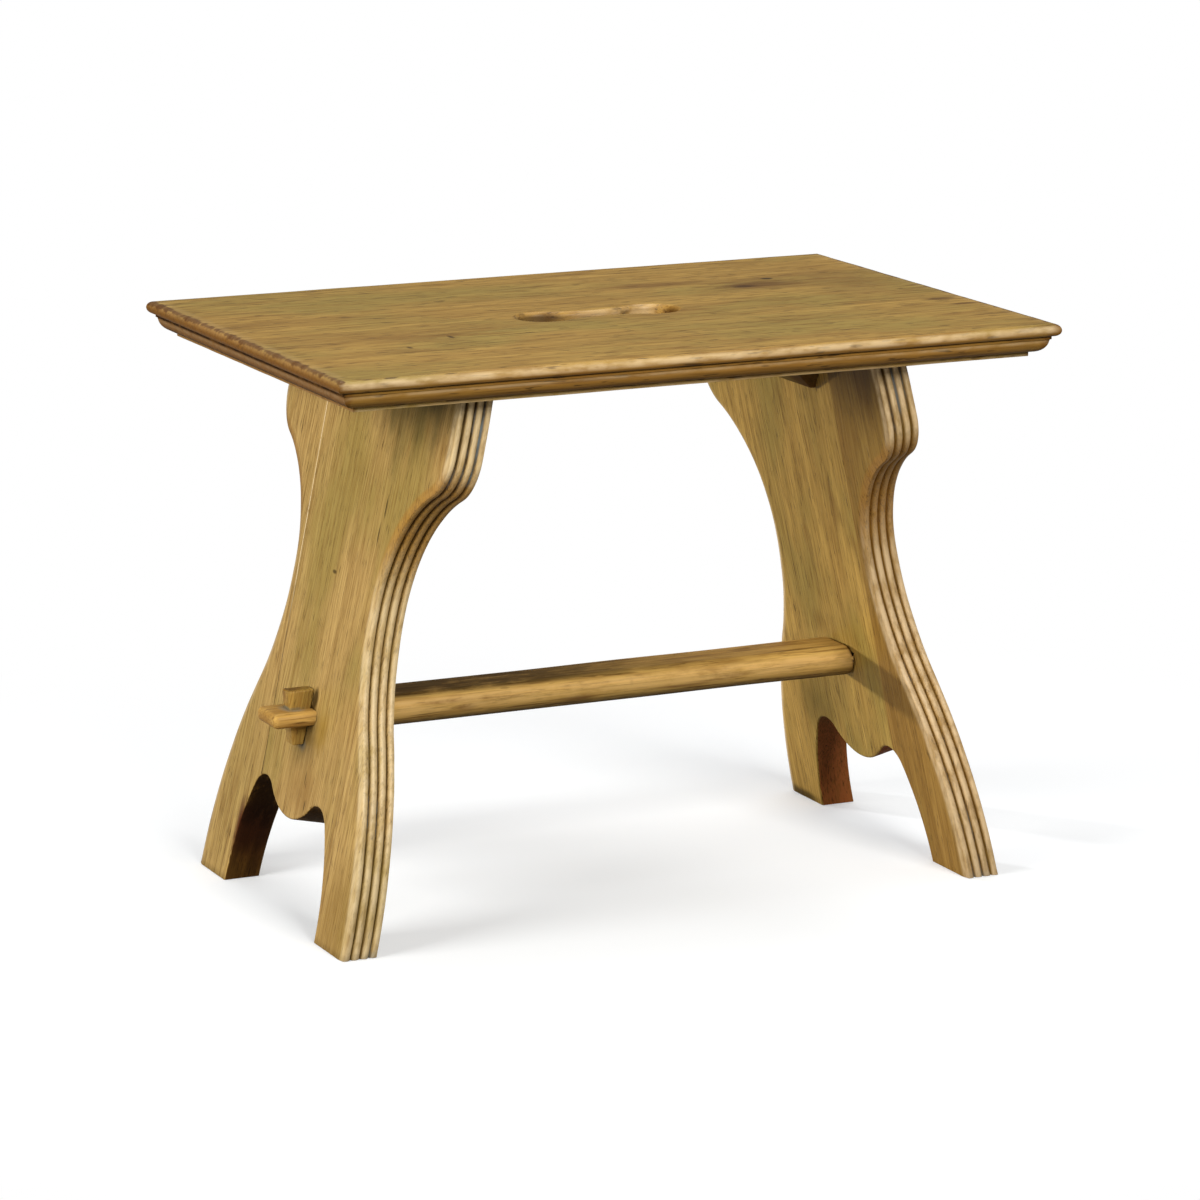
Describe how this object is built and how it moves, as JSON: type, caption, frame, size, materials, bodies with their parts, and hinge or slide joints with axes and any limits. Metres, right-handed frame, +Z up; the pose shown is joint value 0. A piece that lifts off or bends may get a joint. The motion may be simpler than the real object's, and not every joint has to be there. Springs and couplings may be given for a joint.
{
  "type": "tavern stool",
  "caption": "Oak trestle stool with a moulded seat, a hand slot, raked ends with reeded edges and a stretcher drawn tight by tapered keys.",
  "frame": {"origin": "on the floor under the middle of the seat", "axes": "+X along the seat to the right end, -Y to the front, +Z up"},
  "size_m": [0.56, 0.377, 0.42],
  "materials": {
    "oak_seat": "waxed, worn along the edges",
    "oak_ends": "waxed, dark in the reed grooves",
    "oak_stretcher": "waxed and polished by feet",
    "oak_keys": "waxed",
    "oak_blocks": "unwaxed and dusty"
  },
  "bodies": {
    "frame": {"seat_board": "oak_seat", "left_end_board": "oak_ends", "left_end_strip": "oak_ends", "right_end_board": "oak_ends", "right_end_strip": "oak_ends", "stretcher": "oak_stretcher", "left_corner_block": "oak_blocks", "right_corner_block": "oak_blocks"},
    "left_key": {"left_key": "oak_keys"},
    "right_key": {"right_key": "oak_keys"}
  },
  "joints": [
    {"name": "left_key_slide", "type": "slide", "parent": "frame", "child": "left_key", "axis": [0, 0, 1], "range_m": [0, 0.024]},
    {"name": "right_key_slide", "type": "slide", "parent": "frame", "child": "right_key", "axis": [0, 0, 1], "range_m": [0, 0.024]}
  ]
}
